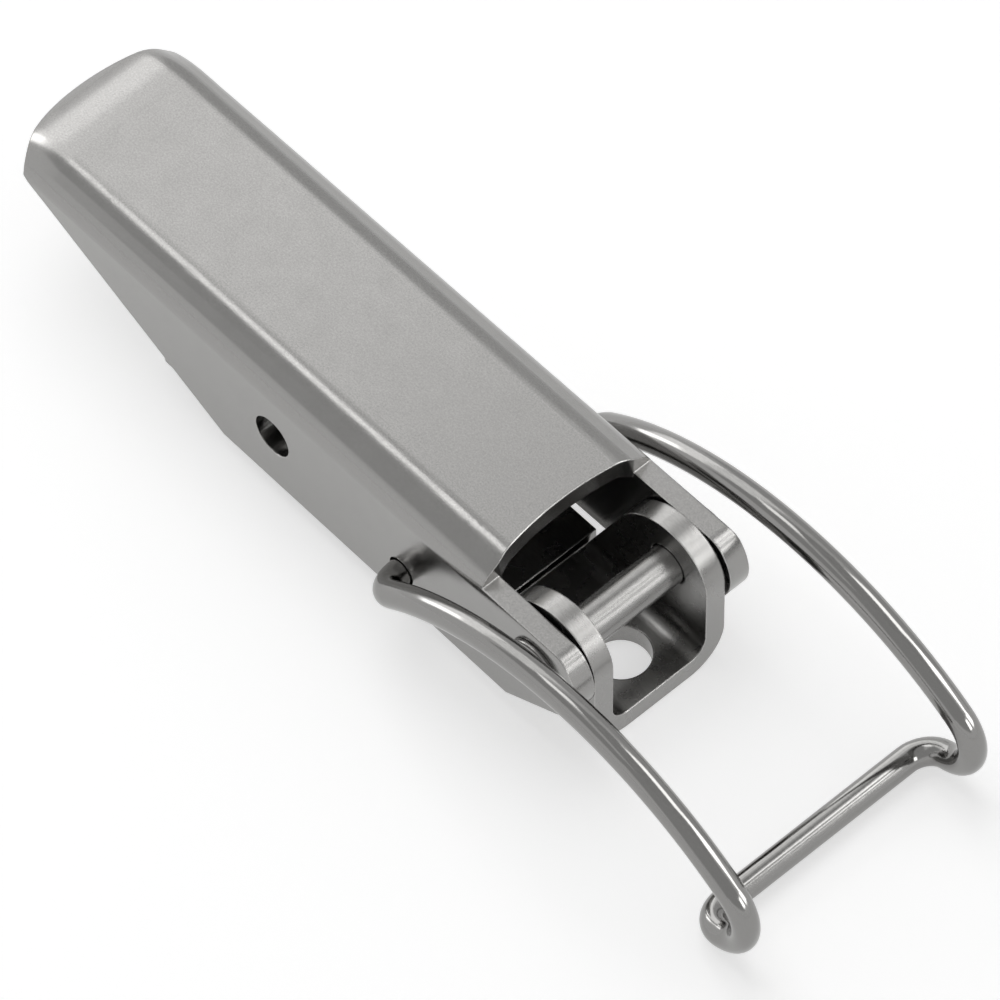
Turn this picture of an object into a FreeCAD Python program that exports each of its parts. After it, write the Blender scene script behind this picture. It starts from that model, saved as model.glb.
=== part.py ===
import FreeCAD, Part
import math
import os

# Over centre toggle latch, millimetres.
# Origin: on the mounting face, midway between the two screw holes.
# +X points to the hooked end of the bail, +Y along the rivet, +Z away from the mounting face.
# Each piece is drawn with X measured from the rivet, and moved to the origin at the end.
# Rises and drops are heights above and below the rivet's axis.

# Sheet and wire
sheet = 2.5
wire_d = 3.0

# Base bracket
pivot_z = 12.0
ear_gap = 12.7
base_bend_in = 2.2
ear_r = 5.6
ear_blend_r = 8.4
ear_blend_deg = 105.0
flank_deg = 63.8
plate_step = 0.45
plate_overhang = 9.3
plate_corner_r = 1.0
screw_hole_d = 6.4
hole_spacing = 50.0

# Pivot rivet
rivet_d = 4.5
ear_bore_clear = 0.15
lever_bore_clear = 0.05
head_gap = 0.05
head_r = 3.4
head_h = 0.55
head_edge = 0.3
dimple_r = 1.5
dimple_depth = 0.25

# Lever
side_clear = 0.35
lever_taper = 0.0105
top_rise = 7.65
shoulder_drop = 2.45
shoulder_run = 3.6
crown_bend_in = 1.0
shoulder_bend_in = 0.35
skirt_drop = 9.5
front_rise_deg = 30.2
rear_rise_deg = 24.1
nose_x = -73.2
nose_r = 12.5
rim_drop = 0.3
slope_run = 26.6
tip_run = 7.55
tip_plan_r = 17.0
ear_nose_r = 6.0
ear_top_rise = 4.65
ear_corner_r = 2.5
arch_mid_x = -9.1
arch_r = 40.0
pin_hole_x = -39.2
pin_hole_drop = 2.0
pin_hole_d = 5.0

# Bail
stub_x = -19.9
stub_drop = 5.0
stub_inside = 0.8
bail_bore_clear = 0.25
elbow_gap = 0.2
elbow_r = 3.2
elbow_straight = 0.1
arm_splay = 0.5
arm_bend_r = 41.6
hook_r = 4.8
hook_tilt_deg = 17.0
cross_bend_r = 3.0
cross_lift = 0.1
cross_x = 28.2

AXIS_Y = FreeCAD.Vector(0, 1, 0)
AXIS_Z = FreeCAD.Vector(0, 0, 1)
SETTLE_ROUNDS = 8

# Worked out from the sizes above
base_half_w = ear_gap / 2 + sheet
lever_half_w = base_half_w + side_clear + sheet
crown_half_w = lever_half_w - shoulder_run
top_z = pivot_z + top_rise
shoulder_z = top_z - shoulder_drop
skirt_z = pivot_z - skirt_drop
ear_top_z = pivot_z + ear_top_rise
roll_z = top_z - nose_r
skirt_rear_x = nose_x + slope_run
tip_x = nose_x - tip_run
stub_z = pivot_z - stub_drop
cross_z = wire_d / 2 + cross_lift
lever_front_x = ear_nose_r + sheet
reach = 2 * (abs(tip_x) + hole_spacing)


def vec(x, y, z):
    return FreeCAD.Vector(x, y, z)


def unit(v):
    return v * (1.0 / v.Length)


def polar(centre, radius, turn):
    """Point of a circle in a plane, given as a pair."""
    return (centre[0] + radius * math.cos(turn), centre[1] + radius * math.sin(turn))


def lines(points):
    """Straight edges from each point to the next."""
    return [Part.makeLine(a, b) for a, b in zip(points[:-1], points[1:])]


def arc(a, b, c):
    return Part.Arc(a, b, c).toShape()


def side_point(pair):
    """Point of the XZ plane."""
    return vec(pair[0], 0, pair[1])


def side_arc(a, b, c):
    return arc(side_point(a), side_point(b), side_point(c))


def corner_arc(corner, back, ahead, radius):
    """Arc that turns from one straight into the next at a corner, with both end points."""
    half = back.getAngle(ahead) / 2.0
    cut = radius / math.tan(half)
    first = corner + back * cut
    last = corner + ahead * cut
    centre = corner + unit(back + ahead) * (radius / math.sin(half))
    middle = centre + unit(corner - centre) * radius
    return arc(first, middle, last), first, last


def rounded_edges(points, radii):
    """Edges of an open path through points, each inner corner rounded with its own radius."""
    edges = []
    start = points[0]
    for i in range(1, len(points) - 1):
        back = unit(points[i - 1] - points[i])
        ahead = unit(points[i + 1] - points[i])
        bend, first, last = corner_arc(points[i], back, ahead, radii[i - 1])
        edges += [Part.makeLine(start, first), bend]
        start = last
    edges.append(Part.makeLine(start, points[-1]))
    return edges


def line_meet(p, d, q, e):
    """Point where two lines in one YZ plane cross, each given by a point and a direction."""
    cross = d.y * e.z - d.z * e.y
    t = ((q.y - p.y) * e.z - (q.z - p.z) * e.y) / cross
    return p + d * t


def inset_points(points, depth):
    """The same open path moved sideways by depth, towards its hollow side."""
    moved = []
    for a, b in zip(points[:-1], points[1:]):
        d = unit(b - a)
        moved.append((a + vec(0, -d.z, d.y) * depth, d))
    inner = [moved[0][0]]
    for (p, d), (q, e) in zip(moved[:-1], moved[1:]):
        inner.append(line_meet(p, d, q, e))
    last = moved[-1][1]
    inner.append(points[-1] + vec(0, -last.z, last.y) * depth)
    return inner


def channel_wire(points, radii_in):
    """Closed outline of bent sheet whose outer face follows points, in a YZ plane."""
    inner = inset_points(points, sheet)
    radii_out = [r + sheet for r in radii_in]
    outer_edges = rounded_edges(points, radii_out)
    inner_edges = rounded_edges(inner[::-1], radii_in[::-1])
    foot_a = Part.makeLine(points[-1], inner[-1])
    foot_b = Part.makeLine(inner[0], points[0])
    return Part.Wire(outer_edges + [foot_a] + inner_edges + [foot_b])


def bar_y(edges, half_width):
    """Solid of an outline in the XZ plane, carried both ways along Y."""
    face = Part.Face(Part.Wire(edges))
    face.translate(vec(0, -half_width, 0))
    return face.extrude(vec(0, 2 * half_width, 0))


def bore_y(radius, x, z):
    """Cylinder along Y through the whole width of the latch."""
    return Part.makeCylinder(radius, 4 * lever_half_w, vec(x, -2 * lever_half_w, z), AXIS_Y)


# Base bracket: a floor plate folded up into two ears
def ear_crest():
    """Where an ear's crest turns flatter, the centre of that arc, and where its flank starts."""
    pin = (0.0, pivot_z)
    blend = math.radians(ear_blend_deg)
    blend_c = polar(pin, ear_r - ear_blend_r, blend)
    flank_top = polar(blend_c, ear_blend_r, math.radians(90.0 + flank_deg))
    return polar(pin, ear_r, blend), blend_c, flank_top


def flank_x(z):
    """X of an ear's sloping rear flank at a height z."""
    flank_top = ear_crest()[2]
    return flank_top[0] - (flank_top[1] - z) / math.tan(math.radians(flank_deg))


def ear_outline():
    """Side view of an ear: upright front, round crest, and a sloping rear flank down to the floor."""
    crest_end, blend_c, flank_top = ear_crest()
    below = -sheet
    low = (ear_r, below)
    high = (ear_r, pivot_z)
    foot = (flank_x(below), below)
    crest_mid = polar((0.0, pivot_z), ear_r, math.radians(ear_blend_deg) / 2)
    blend_mid = polar(blend_c, ear_blend_r, math.radians(ear_blend_deg + 90.0 + flank_deg) / 2)
    return [
        Part.makeLine(side_point(low), side_point(high)),
        side_arc(high, crest_mid, crest_end),
        side_arc(crest_end, blend_mid, flank_top),
        Part.makeLine(side_point(flank_top), side_point(foot)),
        Part.makeLine(side_point(foot), side_point(low)),
    ]


def make_base():
    above_ears = pivot_z + ear_blend_r + ear_r
    path = [
        vec(-reach, -base_half_w, above_ears),
        vec(-reach, -base_half_w, 0),
        vec(-reach, base_half_w, 0),
        vec(-reach, base_half_w, above_ears),
    ]
    fold = channel_wire(path, [base_bend_in, base_bend_in])
    channel = Part.Face(fold).extrude(vec(2 * reach, 0, 0))
    ears = channel.common(bar_y(ear_outline(), 2 * base_half_w))

    # Flat floor behind the ears, with its rear corners rounded
    plate_half_w = base_half_w - plate_step
    plate_rear_x = -hole_spacing - plate_overhang
    plate_length = flank_x(sheet / 2) - plate_rear_x
    floor = Part.makeBox(plate_length, 2 * plate_half_w, sheet, vec(plate_rear_x, -plate_half_w, 0))
    rear_edges = []
    for edge in floor.Edges:
        box = edge.BoundBox
        if box.ZLength > sheet / 2 and box.XMax < plate_rear_x + sheet:
            rear_edges.append(edge)
    floor = floor.makeFillet(plate_corner_r, rear_edges)
    base = ears.fuse(floor).removeSplitter()

    # Screw holes and the rivet's bore
    for x in (0.0, -hole_spacing):
        base = base.cut(Part.makeCylinder(screw_hole_d / 2, 3 * sheet, vec(x, 0, -sheet), AXIS_Z))
    return base.cut(bore_y(rivet_d / 2 + ear_bore_clear, 0, pivot_z))


# Pivot rivet: a plain shaft with a low head formed on each end
def make_rivet():
    seat = lever_half_w + head_gap
    top = seat + head_h
    shaft_r = rivet_d / 2
    edge_c = (head_r - head_edge, top - head_edge)
    edge_mid = polar(edge_c, head_edge, math.radians(45))
    outline = lines([
        vec(0, 0, 0),
        vec(shaft_r, 0, 0),
        vec(shaft_r, seat, 0),
        vec(head_r, seat, 0),
        vec(head_r, edge_c[1], 0),
    ])
    outline.append(arc(vec(head_r, edge_c[1], 0), vec(*edge_mid, 0), vec(edge_c[0], top, 0)))
    outline += lines([
        vec(edge_c[0], top, 0),
        vec(dimple_r, top, 0),
        vec(0, top - dimple_depth, 0),
        vec(0, 0, 0),
    ])
    one = Part.Face(Part.Wire(outline)).revolve(vec(0, 0, 0), AXIS_Y, 360)
    other = one.mirror(vec(0, 0, 0), AXIS_Y)
    rivet = one.fuse(other).removeSplitter()
    rivet.translate(vec(0, 0, pivot_z))
    return rivet


# Lever: pressed channel with bevelled shoulders and a rolled nose
def lever_wall(x):
    """Half of the lever's outer width, which narrows towards the tip."""
    return lever_half_w + lever_taper * x


def lever_section(x, foot_z):
    wall = lever_wall(x)
    half = [vec(x, wall, foot_z), vec(x, wall, shoulder_z), vec(x, crown_half_w, top_z)]
    other_half = [vec(x, -p.y, p.z) for p in half[::-1]]
    radii = [shoulder_bend_in, crown_bend_in, crown_bend_in, shoulder_bend_in]
    return channel_wire(half + other_half, radii)


def slope_meets_nose(hollow_r):
    """Where the walls' sloping rear edge reaches a circle about the nose's roll axis."""
    rear = math.radians(rear_rise_deg)
    away = (skirt_rear_x - nose_x, skirt_z - roll_z)
    back = away[0] * math.cos(rear) - away[1] * math.sin(rear)
    run = back + math.sqrt(back ** 2 - away[0] ** 2 - away[1] ** 2 + hollow_r ** 2)
    return (skirt_rear_x - run * math.cos(rear), skirt_z + run * math.sin(rear))


def lever_outline():
    """Side view of the lever: skirt edge, rises at both ends and the round ears."""
    pin = (0.0, pivot_z)
    rise = math.radians(front_rise_deg)
    chin_turn = rise - math.pi / 2
    chin = polar(pin, ear_nose_r, chin_turn)
    skirt_front_x = chin[0] - (chin[1] - skirt_z) / math.tan(rise)

    # The ear's top corner is a smaller arc that touches the ear's nose from inside
    corner_rise = ear_top_rise - ear_corner_r
    corner_x = math.sqrt((ear_nose_r - ear_corner_r) ** 2 - corner_rise ** 2)
    corner_c = (corner_x, pivot_z + corner_rise)
    brow_turn = math.atan2(corner_rise, corner_x)
    brow = polar(pin, ear_nose_r, brow_turn)
    ear_mid = polar(pin, ear_nose_r, (chin_turn + brow_turn) / 2)
    corner_mid = polar(corner_c, ear_corner_r, (brow_turn + math.pi / 2) / 2)
    corner_end = (corner_x, ear_top_z)

    # The walls' sloping edge runs up to the nose and then follows its hollow side round
    roll_c = (nose_x, roll_z)
    hollow_r = nose_r - sheet - rim_drop
    meet = slope_meets_nose(hollow_r)
    meet_turn = math.atan2(meet[1] - roll_z, meet[0] - nose_x)
    hollow_mid = polar(roll_c, hollow_r, (meet_turn + math.pi) / 2)
    hollow_end = polar(roll_c, hollow_r, math.pi)
    roof = top_z + nose_r
    far_x = tip_x - nose_r
    over = [corner_end, (corner_x, roof), (far_x, roof), (far_x, roll_z), hollow_end]
    under = [meet, (skirt_rear_x, skirt_z), (skirt_front_x, skirt_z), chin]
    edges = lines([side_point(p) for p in over])
    edges.append(side_arc(hollow_end, hollow_mid, meet))
    edges += lines([side_point(p) for p in under])
    edges.append(side_arc(chin, ear_mid, brow))
    edges.append(side_arc(brow, corner_mid, corner_end))
    return edges


def lever_plan():
    """Solid over the lever's outline as seen from above, with its round tip."""
    side = lever_wall(nose_x) + side_clear
    wide = 2 * lever_half_w
    front = lever_front_x + sheet
    back_x = tip_x + tip_plan_r - math.sqrt(tip_plan_r ** 2 - side ** 2)
    marks = [
        (back_x, side),
        (back_x, wide),
        (front, wide),
        (front, -wide),
        (back_x, -wide),
        (back_x, -side),
    ]
    edges = [arc(vec(back_x, -side, 0), vec(tip_x, 0, 0), vec(back_x, side, 0))]
    edges += lines([vec(x, y, 0) for x, y in marks])
    return Part.Face(Part.Wire(edges)).extrude(vec(0, 0, 2 * top_z))


def mouth_x(y):
    """X of the crown's hollow front edge at a distance y from its middle."""
    return arch_mid_x + arch_r - math.sqrt(arch_r ** 2 - y ** 2)


def mouth_cut():
    """What is taken out between the walls, in front of the crown, and above the two ears."""
    corner_x = arch_mid_x
    for _ in range(SETTLE_ROUNDS):
        corner_x = mouth_x(lever_wall(corner_x) - sheet)
    corner_y = lever_wall(corner_x) - sheet
    far_y = lever_wall(lever_front_x) - sheet
    arc_a = vec(corner_x, -corner_y, 0)
    arc_b = vec(corner_x, corner_y, 0)
    edges = [arc(arc_a, vec(arch_mid_x, 0, 0), arc_b)]
    edges += lines([arc_b, vec(lever_front_x, far_y, 0), vec(lever_front_x, -far_y, 0), arc_a])
    mouth = Part.Face(Part.Wire(edges)).extrude(vec(0, 0, 2 * top_z))
    wide = 4 * lever_half_w
    above_ears = Part.makeBox(
        lever_front_x - corner_x, wide, top_z, vec(corner_x, -wide / 2, ear_top_z)
    )
    return mouth, above_ears


def make_lever():
    ends = [lever_section(nose_x, 0.0), lever_section(lever_front_x, 0.0)]
    shell = Part.makeLoft(ends, True, True)
    nose = Part.Face(lever_section(nose_x, roll_z + sheet / 2))
    shell = shell.fuse(nose.revolve(vec(nose_x, 0, roll_z), AXIS_Y, -90))
    lever = shell.common(bar_y(lever_outline(), 2 * lever_half_w)).common(lever_plan())
    mouth, above_ears = mouth_cut()
    lever = lever.cut(mouth).cut(above_ears)

    # Rivet bore, bail bore and locking pin hole go through both walls
    lever = lever.cut(bore_y(rivet_d / 2 + lever_bore_clear, 0, pivot_z))
    lever = lever.cut(bore_y(wire_d / 2 + bail_bore_clear, stub_x, stub_z))
    lever = lever.cut(bore_y(pin_hole_d / 2, pin_hole_x, pivot_z - pin_hole_drop))
    return lever.removeSplitter()


# Bail: one round wire, hooked under at the front, with its two ends turned into the lever
def plane_arc(centre, start, end, radius, place):
    """Arc of the arm plane; centre, start and end are (distance along, height) pairs."""
    start_turn = math.atan2(start[1] - centre[1], start[0] - centre[0])
    end_turn = math.atan2(end[1] - centre[1], end[0] - centre[0])
    if end_turn > start_turn:
        end_turn -= 2 * math.pi
    middle = polar(centre, radius, (start_turn + end_turn) / 2)
    return arc(place(start), place(middle), place(end))


def bail_side():
    """Edges of the wire's centre line on the -Y side, and the end of the crossbar on that side."""
    wall = lever_wall(stub_x)
    stub_end_y = wall - sheet - stub_inside
    arm_half_rear = wall + elbow_gap + elbow_r
    lean = math.atan(arm_splay / (cross_x - stub_x))
    tilt = math.radians(hook_tilt_deg)

    # Arm plane: the pair is the distance forward from the stub and the height
    def place(pair):
        x = stub_x + pair[0] * math.cos(lean)
        y = -(arm_half_rear + pair[0] * math.sin(lean))
        return vec(x, y, pair[1])

    # The wire leaves the hook backwards and down, and bends there into the crossbar
    corner = ((cross_x - stub_x) / math.cos(lean), cross_z)
    uphill = unit(place(polar(corner, 1.0, tilt)) - place(corner))
    cross, cross_in, cross_out = corner_arc(place(corner), uphill, AXIS_Y, cross_bend_r)
    hook_end = polar(corner, (cross_in - place(corner)).Length, tilt)
    hook_c = polar(hook_end, hook_r, tilt + math.pi / 2)

    # The long arm bend touches the hook bend from inside, and its start points at the stub
    stub = (0.0, stub_z)
    elbow_run = elbow_r + elbow_straight
    reach_in = arm_bend_r - hook_r
    reach_out = math.hypot(arm_bend_r, elbow_run)
    gap = math.hypot(hook_c[0] - stub[0], hook_c[1] - stub[1])
    spread = math.acos((reach_out ** 2 + gap ** 2 - reach_in ** 2) / (2 * reach_out * gap))
    facing = math.atan2(hook_c[1] - stub[1], hook_c[0] - stub[0])
    arm_c = polar(stub, reach_out, facing - spread)
    to_hook = math.atan2(hook_c[1] - arm_c[1], hook_c[0] - arm_c[0])
    from_stub = math.atan2(stub[1] - arm_c[1], stub[0] - arm_c[0])
    meet = polar(arm_c, arm_bend_r, to_hook)
    start = polar(arm_c, arm_bend_r, from_stub - math.atan2(elbow_run, arm_bend_r))

    # Elbow from the stub, along -Y, into the arm
    heading = unit(place(start) - place(stub))
    elbow, elbow_in, elbow_out = corner_arc(place(stub), AXIS_Y, heading, elbow_r)
    edges = [
        Part.makeLine(vec(stub_x, -stub_end_y, stub_z), elbow_in),
        elbow,
        Part.makeLine(elbow_out, place(start)),
        plane_arc(arm_c, start, meet, arm_bend_r, place),
        plane_arc(hook_c, meet, hook_end, hook_r, place),
        cross,
    ]
    return edges, cross_out


def make_bail():
    side, bar_end = bail_side()
    other = [edge.mirror(vec(0, 0, 0), AXIS_Y) for edge in side]
    bar = Part.makeLine(bar_end, vec(bar_end.x, -bar_end.y, bar_end.z))
    line = Part.Wire(side + [bar] + other[::-1])
    circle = Part.makeCircle(wire_d / 2, side[0].Vertexes[0].Point, AXIS_Y)
    return line.makePipeShell([Part.Wire([circle])], True, False)


parts = {
    "base_bracket": make_base(),
    "pivot_rivet": make_rivet(),
    "lever": make_lever(),
    "bail": make_bail(),
}
os.makedirs("parts", exist_ok=True)
for name, shape in parts.items():
    shape.translate(vec(hole_spacing / 2, 0, 0))
    print(name, "valid", shape.isValid(), "solids", len(shape.Solids), "volume", round(shape.Volume, 1))
    shape.exportStep("parts/" + name + ".step")
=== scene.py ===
import math

import bpy
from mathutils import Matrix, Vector


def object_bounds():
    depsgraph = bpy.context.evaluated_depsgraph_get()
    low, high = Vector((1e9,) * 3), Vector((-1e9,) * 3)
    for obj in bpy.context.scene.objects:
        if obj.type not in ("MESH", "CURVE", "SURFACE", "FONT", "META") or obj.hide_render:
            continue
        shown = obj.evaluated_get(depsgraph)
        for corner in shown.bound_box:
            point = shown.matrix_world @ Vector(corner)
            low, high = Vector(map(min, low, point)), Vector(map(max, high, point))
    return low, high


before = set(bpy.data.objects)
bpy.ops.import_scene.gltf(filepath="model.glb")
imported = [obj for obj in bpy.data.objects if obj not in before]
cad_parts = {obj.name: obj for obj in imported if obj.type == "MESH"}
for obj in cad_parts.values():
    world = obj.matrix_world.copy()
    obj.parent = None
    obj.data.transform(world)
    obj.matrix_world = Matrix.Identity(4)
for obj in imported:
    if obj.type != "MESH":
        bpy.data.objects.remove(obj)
cad_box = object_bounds()

MILLIMETRE = 0.001
WHITE = (1.0, 1.0, 1.0, 1.0)

# Camera: angles in degrees, lengths in metres, sensor width in millimetres
VIEW_AZIMUTH = 47.16
VIEW_ELEVATION = 55.57
VIEW_DISTANCE = 1.552
PICTURE_WIDTH = 0.1
SENSOR_WIDTH = 36.0
AIM = Vector((0.0067, 0.0005, 0.0094))

# Floor: half its side, its drop below the object, both in metres, and its colour
FLOOR_HALF = 6.0
FLOOR_DROP = 0.00002
FLOOR_COLOUR = (0.80, 0.80, 0.80, 1.0)

# Light that the floor gives off where it is seen, so that it shows as white
FLOOR_GLOW = 0.53

# Strength of the world where it lights a surface. It is 1 where it is seen
AMBIENT = 0.35

# Lamps that light the floor: direction from the origin, distance and sides in metres, watts
SOFTBOXES = {
    "overhead_softbox": dict(direction=(-0.42, 0.12, 0.90), distance=1.2, sides=(0.95, 0.80), watts=3.2),
    "tip_side_softbox": dict(direction=(-0.86, 0.15, 0.42), distance=1.2, sides=(0.95, 0.50), watts=3.0),
}

# Cards that the metal mirrors: placed as the lamps are, with a tone that is 1 for white
CARDS = {
    "overhead_card": dict(direction=(-0.62, 0.17, 0.77), distance=0.42, sides=(0.34, 0.15), tone=1.70),
    "key_card": dict(direction=(-0.40, -0.13, 0.90), distance=0.60, sides=(0.16, 0.16), tone=2.80),
    "tip_side_card": dict(direction=(-0.86, 0.15, 0.44), distance=0.44, sides=(0.34, 0.20), tone=2.20),
    "tip_corner_card": dict(direction=(-0.94, -0.05, 0.34), distance=0.40, sides=(0.12, 0.12), tone=4.50),
    "front_card": dict(direction=(0.18, 0.53, 0.83), distance=0.80, sides=(0.32, 0.28), tone=3.80),
    "bail_card": dict(direction=(0.46, 0.58, 0.67), distance=0.80, sides=(0.30, 0.30), tone=5.00),
    "arm_card": dict(direction=(0.74, 0.56, 0.40), distance=0.80, sides=(0.28, 0.28), tone=5.00),
    "hook_card": dict(direction=(0.90, 0.10, 0.42), distance=0.80, sides=(0.20, 0.24), tone=5.50),
    "zenith_card": dict(direction=(0.10, 0.10, 1.00), distance=1.50, sides=(1.50, 1.50), tone=0.60),
    "camera_card": dict(direction=(0.55, -0.50, 0.66), distance=1.45, sides=(2.60, 1.50), tone=0.62),
    "near_card": dict(direction=(-0.40, -0.58, 0.71), distance=1.60, sides=(1.40, 0.84), tone=0.62),
    "far_card": dict(direction=(-0.25, 0.92, 0.32), distance=1.60, sides=(1.90, 1.50), tone=0.75),
}

# Finish of each node. Grain size along and across it, and grain height, are in millimetres
# The edge tone brightens the cut edges: partly wear, partly a painted edge highlight
FINISHES = {
    "lever": dict(
        name="satin_sheet", tone=0.305, edge_rub_and_highlight_tone=0.50, roughness=0.23, roughness_spread=0.03,
        along=0.20, across=0.18, height=0.0008, contrast=0.13,
    ),
    "base_bracket": dict(
        name="polished_sheet", tone=0.30, edge_rub_and_highlight_tone=0.52, roughness=0.28, roughness_spread=0.04,
        along=0.90, across=0.20, height=0.0012, contrast=0.10,
    ),
    "pivot_rivet": dict(
        name="rivet_steel", tone=0.26, edge_rub_and_highlight_tone=0.52, roughness=0.25, roughness_spread=0.03,
        along=0.20, across=0.90, height=0.0010, contrast=0.08,
    ),
    "bail": dict(
        name="wire_steel", tone=0.265, edge_rub_and_highlight_tone=0.50, roughness=0.11, roughness_spread=0.03,
        along=0.90, across=0.20, height=0.0010, contrast=0.07,
    ),
}

# Steel is a little warmer than grey
WARMTH = (1.0, 0.987, 0.963)

# Noise: the range that its values seldom leave, its middle, and how fine it is
NOISE_LOW = 0.3
NOISE_HIGH = 0.7
NOISE_MIDDLE = 0.5
GRAIN_DETAIL = 3.0
CLOUD_DETAIL = 4.0
CLOUDS_PER_MILLIMETRE = 0.35

# Grain shows in part on the sides and in full where the normal's upward part is near 1
GRAIN_ON_SIDES = 0.25
UPWARD_START = 0.80
UPWARD_FULL = 0.97

# Distance of the grain from its middle at which its tone is darkest or brightest
RIPPLE_REACH = 0.25

# Cut edges: radius in metres, rays traced for it, and lean of the normal where the edge wear and painted
# edge highlight start and are full
EDGE_RADIUS = 0.25 * MILLIMETRE
EDGE_SAMPLES = 6
EDGE_START = 0.02
EDGE_FULL = 0.20


class Nodes:
    """Short calls for building one node tree."""

    def __init__(self, tree):
        self.tree = tree
        tree.nodes.clear()

    def add(self, kind, **settings):
        node = self.tree.nodes.new("ShaderNode" + kind)
        for name, value in settings.items():
            setattr(node, name, value)
        return node

    def join(self, source, target):
        self.tree.links.new(source, target)

    def feed(self, value, socket):
        """Set a socket to a number, or join another node's output to it."""
        if isinstance(value, (int, float)):
            socket.default_value = value
        else:
            self.join(value, socket)

    def math(self, operation, *values):
        node = self.add("Math", operation=operation)
        for socket, value in zip(node.inputs, values):
            self.feed(value, socket)
        return node.outputs[0]

    def spread(self, value, low, high, new_low, new_high):
        """The value carried from one range of numbers to another, kept within it."""
        node = self.add("MapRange")
        for socket, number in zip(node.inputs, (value, low, high, new_low, new_high)):
            self.feed(number, socket)
        return node.outputs[0]

    def noise(self, place, scale, detail):
        node = self.add("TexNoise")
        node.inputs["Scale"].default_value = scale
        node.inputs["Detail"].default_value = detail
        self.join(place, node.inputs["Vector"])
        return node.outputs["Fac"]

    def glow(self):
        """A white emission shader."""
        node = self.add("Emission")
        node.inputs["Color"].default_value = WHITE
        return node

    def seen_directly(self):
        """1 for rays from the camera, from a mirror-like surface or through glass, else 0."""
        path = self.add("LightPath")
        seen = self.math("MAXIMUM", path.outputs["Is Camera Ray"], path.outputs["Is Glossy Ray"])
        return self.math("MAXIMUM", seen, path.outputs["Is Transmission Ray"])


def start_material(name):
    """A new material that holds only its output node."""
    material = bpy.data.materials.new(name)
    material.use_nodes = True
    nodes = Nodes(material.node_tree)
    return material, nodes, nodes.add("OutputMaterial")


def put_in_scene(thing):
    bpy.context.scene.collection.objects.link(thing)
    return thing


def look_along(direction):
    """A turn that points a camera, lamp or card along a direction, with +Z up."""
    return direction.to_track_quat("-Z", "Y")


def place_facing(thing, direction, distance):
    """Put a lamp or card at a distance from the origin, turned to face it."""
    towards = Vector(direction).normalized()
    thing.location = towards * distance
    thing.rotation_mode = "QUATERNION"
    thing.rotation_quaternion = look_along(-towards)


def make_rectangle(name, half_width, half_depth, height, material):
    """A flat rectangle around the Z axis."""
    corners = [(-1, -1), (1, -1), (1, 1), (-1, 1)]
    points = [(x * half_width, y * half_depth, height) for x, y in corners]
    mesh = bpy.data.meshes.new(name)
    mesh.from_pydata(points, [], [(0, 1, 2, 3)])
    mesh.materials.append(material)
    return put_in_scene(bpy.data.objects.new(name, mesh))


def make_camera():
    azimuth = math.radians(VIEW_AZIMUTH)
    elevation = math.radians(VIEW_ELEVATION)
    back = Vector((
        math.sin(azimuth) * math.cos(elevation),
        -math.cos(azimuth) * math.cos(elevation),
        math.sin(elevation),
    ))
    lens = bpy.data.cameras.new("photo_camera")
    lens.sensor_width = SENSOR_WIDTH
    lens.lens = SENSOR_WIDTH * VIEW_DISTANCE / PICTURE_WIDTH
    camera = put_in_scene(bpy.data.objects.new("photo_camera", lens))
    camera.location = AIM + back * VIEW_DISTANCE
    camera.rotation_mode = "QUATERNION"
    camera.rotation_quaternion = look_along(-back)
    bpy.context.scene.camera = camera


def make_softboxes():
    """Area lamps that neither the camera nor the metal sees."""
    for name, softbox in SOFTBOXES.items():
        light = bpy.data.lights.new(name, "AREA")
        light.shape = "RECTANGLE"
        light.size, light.size_y = softbox["sides"]
        light.energy = softbox["watts"]
        lamp = put_in_scene(bpy.data.objects.new(name, light))
        lamp.visible_camera = False
        lamp.visible_glossy = False
        place_facing(lamp, softbox["direction"], softbox["distance"])


def make_cards():
    """Glowing cards that are seen only in mirror-like reflections."""
    for name, card in CARDS.items():
        material, nodes, output = start_material(name)
        glow = nodes.glow()
        glow.inputs["Strength"].default_value = card["tone"]
        nodes.join(glow.outputs[0], output.inputs[0])
        width, depth = card["sides"]
        plane = make_rectangle(name, width / 2, depth / 2, 0.0, material)
        plane.visible_camera = False
        plane.visible_diffuse = False
        plane.visible_shadow = False
        place_facing(plane, card["direction"], card["distance"])


def make_world():
    """A white world that lights surfaces less strongly than it shows."""
    world = bpy.data.worlds.new("studio")
    world.use_nodes = True
    bpy.context.scene.world = world
    nodes = Nodes(world.node_tree)
    output = nodes.add("OutputWorld")
    background = nodes.add("Background")
    background.inputs["Color"].default_value = WHITE
    strength = nodes.math("MULTIPLY_ADD", nodes.seen_directly(), 1.0 - AMBIENT, AMBIENT)
    nodes.join(strength, background.inputs["Strength"])
    nodes.join(background.outputs[0], output.inputs[0])


def make_floor():
    """A pale matt floor that takes the object's shadow and glows up to white where it is seen."""
    material, nodes, output = start_material("pale_floor")
    paper = nodes.add("BsdfDiffuse")
    paper.inputs["Color"].default_value = FLOOR_COLOUR
    glow = nodes.glow()
    nodes.join(nodes.math("MULTIPLY", nodes.seen_directly(), FLOOR_GLOW), glow.inputs["Strength"])
    both = nodes.add("AddShader")
    nodes.join(paper.outputs[0], both.inputs[0])
    nodes.join(glow.outputs[0], both.inputs[1])
    nodes.join(both.outputs[0], output.inputs[0])
    floor = make_rectangle("floor", FLOOR_HALF, FLOOR_HALF, cad_box[0].z - FLOOR_DROP, material)


def warm(tone):
    """A grey of the steel's own tint."""
    return (*[tone * part for part in WARMTH], 1.0)


def make_grain(nodes, place, along, across):
    """Fine noise, stretched along X or Y like the grain of drawn or brushed metal."""
    stretch = nodes.add("Mapping")
    stretch.inputs["Scale"].default_value = (1 / along, 1 / across, 1 / min(along, across))
    nodes.join(place, stretch.inputs["Vector"])
    return nodes.noise(stretch.outputs[0], 1 / MILLIMETRE, GRAIN_DETAIL)


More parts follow.
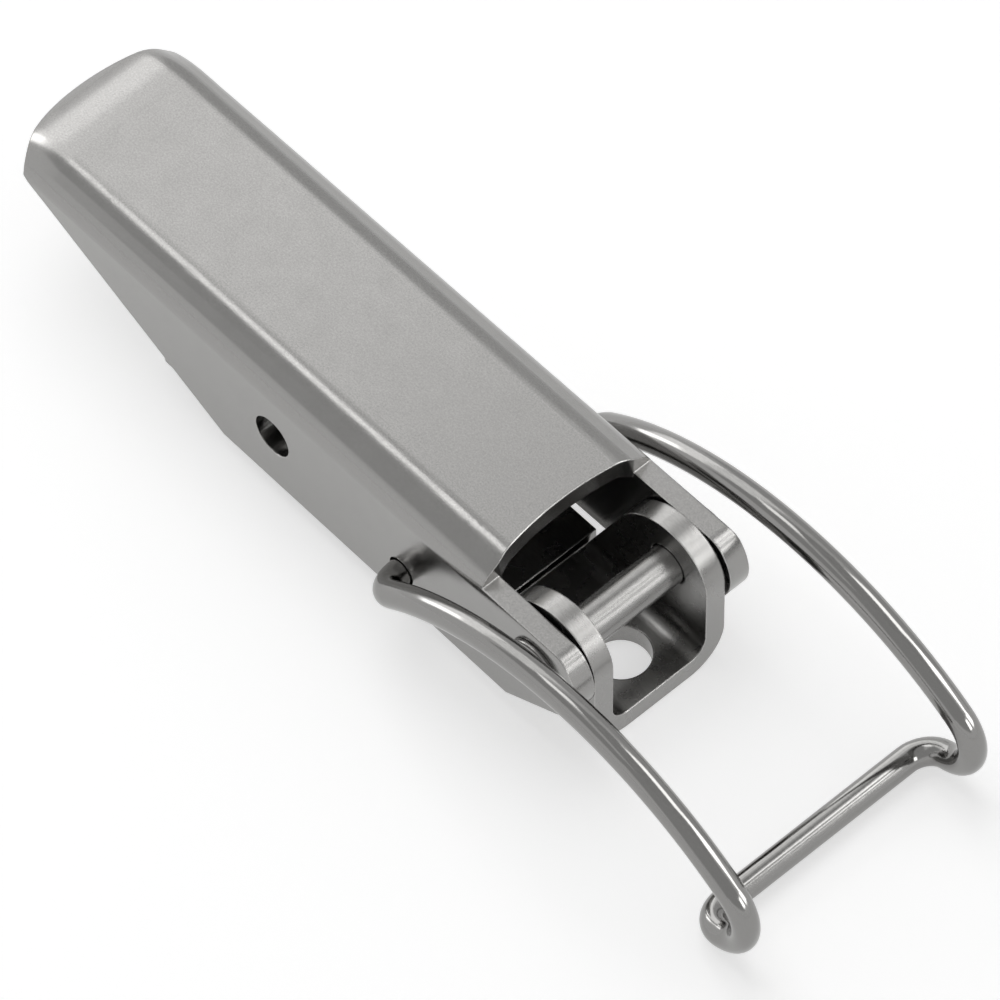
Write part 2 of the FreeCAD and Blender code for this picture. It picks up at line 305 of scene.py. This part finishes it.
def round_edges(nodes):
    """Normals that turn softly round the cut edges."""
    bevel = nodes.add("Bevel", samples=EDGE_SAMPLES)
    bevel.inputs["Radius"].default_value = EDGE_RADIUS
    return bevel.outputs[0]


def find_edge_rub_and_highlight(nodes, soft_normal):
    """A mask of the cut edges, for wear and a painted highlight: it rises to 1 where the rounded normal
    leans away from the true one.
    """
    geometry = nodes.add("NewGeometry")
    lean = nodes.add("VectorMath", operation="DOT_PRODUCT")
    nodes.join(soft_normal, lean.inputs[0])
    nodes.join(geometry.outputs["Normal"], lean.inputs[1])
    away = nodes.math("SUBTRACT", 1.0, lean.outputs["Value"])
    return nodes.spread(away, EDGE_START, EDGE_FULL, 0.0, 1.0)


def vary_roughness(nodes, place, edge_rub_and_highlight_mask, roughness, roughness_spread):
    """Roughness that drifts in small clouds and falls on worn edges."""
    clouds = nodes.noise(place, CLOUDS_PER_MILLIMETRE / MILLIMETRE, CLOUD_DETAIL)
    low = roughness - roughness_spread
    high = roughness + roughness_spread
    rough = nodes.spread(clouds, NOISE_LOW, NOISE_HIGH, low, high)
    return nodes.math("SUBTRACT", rough, nodes.math("MULTIPLY", edge_rub_and_highlight_mask, roughness_spread))


def vary_tone(nodes, normal, grain, edge_rub_and_highlight_mask, tone, edge_rub_and_highlight_tone, contrast):
    """Colour that follows the grain, mostly on faces that look up, and is brighter on the cut edges,
    partly for wear and partly as a painted edge highlight.
    """
    facing = nodes.add("SeparateXYZ")
    nodes.join(normal, facing.inputs[0])
    upward = nodes.spread(facing.outputs["Z"], UPWARD_START, UPWARD_FULL, GRAIN_ON_SIDES, 1.0)
    ripple = nodes.math("MULTIPLY", nodes.math("SUBTRACT", grain, NOISE_MIDDLE), upward)
    mottle = nodes.add("Mix", data_type="RGBA")
    mottle.inputs["A"].default_value = warm(tone * (1.0 - contrast))
    mottle.inputs["B"].default_value = warm(tone * (1.0 + contrast))
    nodes.join(nodes.spread(ripple, -RIPPLE_REACH, RIPPLE_REACH, 0.0, 1.0), mottle.inputs["Factor"])
    # Brighter colour on the cut edges: partly wear, partly a painted highlight
    edge_rub_and_highlight_mix = nodes.add("Mix", data_type="RGBA")
    edge_rub_and_highlight_mix.inputs["B"].default_value = warm(edge_rub_and_highlight_tone)
    nodes.join(edge_rub_and_highlight_mask, edge_rub_and_highlight_mix.inputs["Factor"])
    nodes.join(mottle.outputs["Result"], edge_rub_and_highlight_mix.inputs["A"])
    return edge_rub_and_highlight_mix.outputs["Result"]


def steel(name, tone, edge_rub_and_highlight_tone, roughness, roughness_spread, along, across, height, contrast):
    """A steel finish with fine grain, cloudy roughness and soft edges, which are worn and carry a painted
    highlight.
    """
    material, nodes, output = start_material(name)
    surface = nodes.add("BsdfPrincipled")
    surface.inputs["Metallic"].default_value = 1.0
    nodes.join(surface.outputs[0], output.inputs[0])

    coords = nodes.add("TexCoord")
    place = coords.outputs["Object"]
    grain = make_grain(nodes, place, along, across)
    soft_normal = round_edges(nodes)
    edge_rub_and_highlight_mask = find_edge_rub_and_highlight(nodes, soft_normal)

    bump = nodes.add("Bump")
    bump.inputs["Distance"].default_value = height * MILLIMETRE
    nodes.join(grain, bump.inputs["Height"])
    nodes.join(soft_normal, bump.inputs["Normal"])
    nodes.join(bump.outputs[0], surface.inputs["Normal"])

    rough = vary_roughness(nodes, place, edge_rub_and_highlight_mask, roughness, roughness_spread)
    nodes.join(rough, surface.inputs["Roughness"])
    colour = vary_tone(nodes, coords.outputs["Normal"], grain, edge_rub_and_highlight_mask, tone, edge_rub_and_highlight_tone, contrast)
    nodes.join(colour, surface.inputs["Base Color"])
    return material


def dress(node, material):
    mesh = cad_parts[node].data
    mesh.materials.clear()
    mesh.materials.append(material)


make_camera()
make_softboxes()
make_cards()
make_world()
make_floor()
for node, finish in FINISHES.items():
    dress(node, steel(**finish))

bpy.context.scene.view_settings.view_transform = "Standard"
